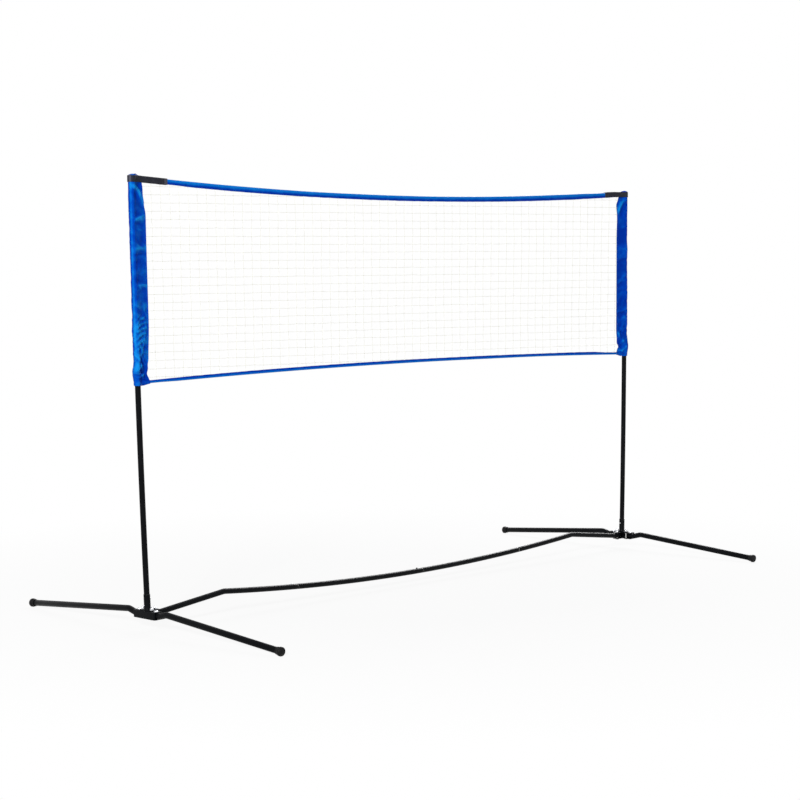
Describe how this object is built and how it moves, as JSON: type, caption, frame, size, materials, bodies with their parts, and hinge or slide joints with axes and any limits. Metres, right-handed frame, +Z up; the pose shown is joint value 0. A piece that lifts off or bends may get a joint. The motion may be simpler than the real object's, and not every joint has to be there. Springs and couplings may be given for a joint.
{
  "type": "badminton net",
  "caption": "Portable badminton net: taped mesh in fabric sleeves on leaning posts, with folding legs and a plug-together ground bar.",
  "frame": {"origin": "on the ground under the middle of the net", "axes": "+X along the net to its right-hand post, +Y across the net towards the rear feet, +Z up"},
  "size_m": [2.6888, 1.3898, 1.55],
  "materials": {
    "black_paint": "satin black powder coat",
    "zinc_steel": "zinc plated",
    "bright_nut": "bright plated",
    "black_rubber": "matt moulded rubber",
    "black_plastic": "matt",
    "blue_fabric": "plain-woven polyester",
    "black_webbing": "flat webbing",
    "white_cord": "braided cord",
    "net_twine": "thin twine"
  },
  "bodies": {
    "stand": {"bar_bolt_left": "zinc_steel", "bar_bolt_right": "zinc_steel", "bar_end_tube_left": "black_paint", "bar_end_tube_right": "black_paint", "bar_left_spring": "zinc_steel", "bar_mid_tube_left": "black_paint", "bar_mid_tube_right": "black_paint", "bar_middle_spring": "zinc_steel", "bar_nut_left": "bright_nut", "bar_nut_right": "bright_nut", "bar_right_spring": "zinc_steel", "base_bracket_left": "black_paint", "base_bracket_right": "black_paint", "bottom_cord": "white_cord", "bottom_tape": "blue_fabric", "corner_band_left": "black_webbing", "corner_band_right": "black_webbing", "net_mesh": "net_twine", "pivot_rivet_left_front": "bright_nut", "pivot_rivet_left_rear": "bright_nut", "pivot_rivet_right_front": "bright_nut", "pivot_rivet_right_rear": "bright_nut", "pole_sleeve_left": "blue_fabric", "pole_sleeve_right": "blue_fabric", "post_cap_left": "black_plastic", "post_cap_right": "black_plastic", "post_left_spring": "zinc_steel", "post_lower_left": "black_paint", "post_lower_right": "black_paint", "post_right_spring": "zinc_steel", "post_socket_left": "black_paint", "post_socket_right": "black_paint", "post_upper_left": "black_paint", "post_upper_right": "black_paint", "socket_bolt_left_front": "zinc_steel", "socket_bolt_left_rear": "zinc_steel", "socket_bolt_right_front": "zinc_steel", "socket_bolt_right_rear": "zinc_steel", "socket_nut_left_front": "bright_nut", "socket_nut_left_rear": "bright_nut", "socket_nut_right_front": "bright_nut", "socket_nut_right_rear": "bright_nut", "top_cord": "white_cord", "top_tape": "blue_fabric"},
    "leg_left_front": {"leg_left_front": "black_paint", "foot_cap_left_front": "black_rubber"},
    "leg_left_rear": {"leg_left_rear": "black_paint", "foot_cap_left_rear": "black_rubber"},
    "leg_right_front": {"leg_right_front": "black_paint", "foot_cap_right_front": "black_rubber"},
    "leg_right_rear": {"leg_right_rear": "black_paint", "foot_cap_right_rear": "black_rubber"},
    "bar_left_button": {"bar_left_button": "zinc_steel"},
    "bar_middle_button": {"bar_middle_button": "zinc_steel"},
    "bar_right_button": {"bar_right_button": "zinc_steel"},
    "post_left_button": {"post_left_button": "zinc_steel"},
    "post_right_button": {"post_right_button": "zinc_steel"}
  },
  "joints": [
    {"name": "leg_left_front_fold", "type": "hinge", "parent": "stand", "child": "leg_left_front", "pos_m": [-1.3, -0.046, 0.053], "axis": [0, 0, 1], "range_deg": [0, 90]},
    {"name": "leg_left_rear_fold", "type": "hinge", "parent": "stand", "child": "leg_left_rear", "pos_m": [-1.3, 0.046, 0.053], "axis": [0, 0, -1], "range_deg": [0, 90]},
    {"name": "leg_right_front_fold", "type": "hinge", "parent": "stand", "child": "leg_right_front", "pos_m": [1.3, -0.046, 0.053], "axis": [0, 0, -1], "range_deg": [0, 90]},
    {"name": "leg_right_rear_fold", "type": "hinge", "parent": "stand", "child": "leg_right_rear", "pos_m": [1.3, 0.046, 0.053], "axis": [0, 0, 1], "range_deg": [0, 90]},
    {"name": "bar_left_button_press", "type": "slide", "parent": "stand", "child": "bar_left_button", "axis": [0, 0, -1], "range_m": [0, 0.005], "stiffness_N_per_m": 1500, "deforming": ["bar_left_spring"]},
    {"name": "bar_middle_button_press", "type": "slide", "parent": "stand", "child": "bar_middle_button", "axis": [0, 0, -1], "range_m": [0, 0.005], "stiffness_N_per_m": 1500, "deforming": ["bar_middle_spring"]},
    {"name": "bar_right_button_press", "type": "slide", "parent": "stand", "child": "bar_right_button", "axis": [0, 0, -1], "range_m": [0, 0.005], "stiffness_N_per_m": 1500, "deforming": ["bar_right_spring"]},
    {"name": "post_left_button_press", "type": "slide", "parent": "stand", "child": "post_left_button", "axis": [-1, 0, 0], "range_m": [0, 0.005], "stiffness_N_per_m": 1500, "deforming": ["post_left_spring"]},
    {"name": "post_right_button_press", "type": "slide", "parent": "stand", "child": "post_right_button", "axis": [1, 0, 0], "range_m": [0, 0.005], "stiffness_N_per_m": 1500, "deforming": ["post_right_spring"]}
  ]
}
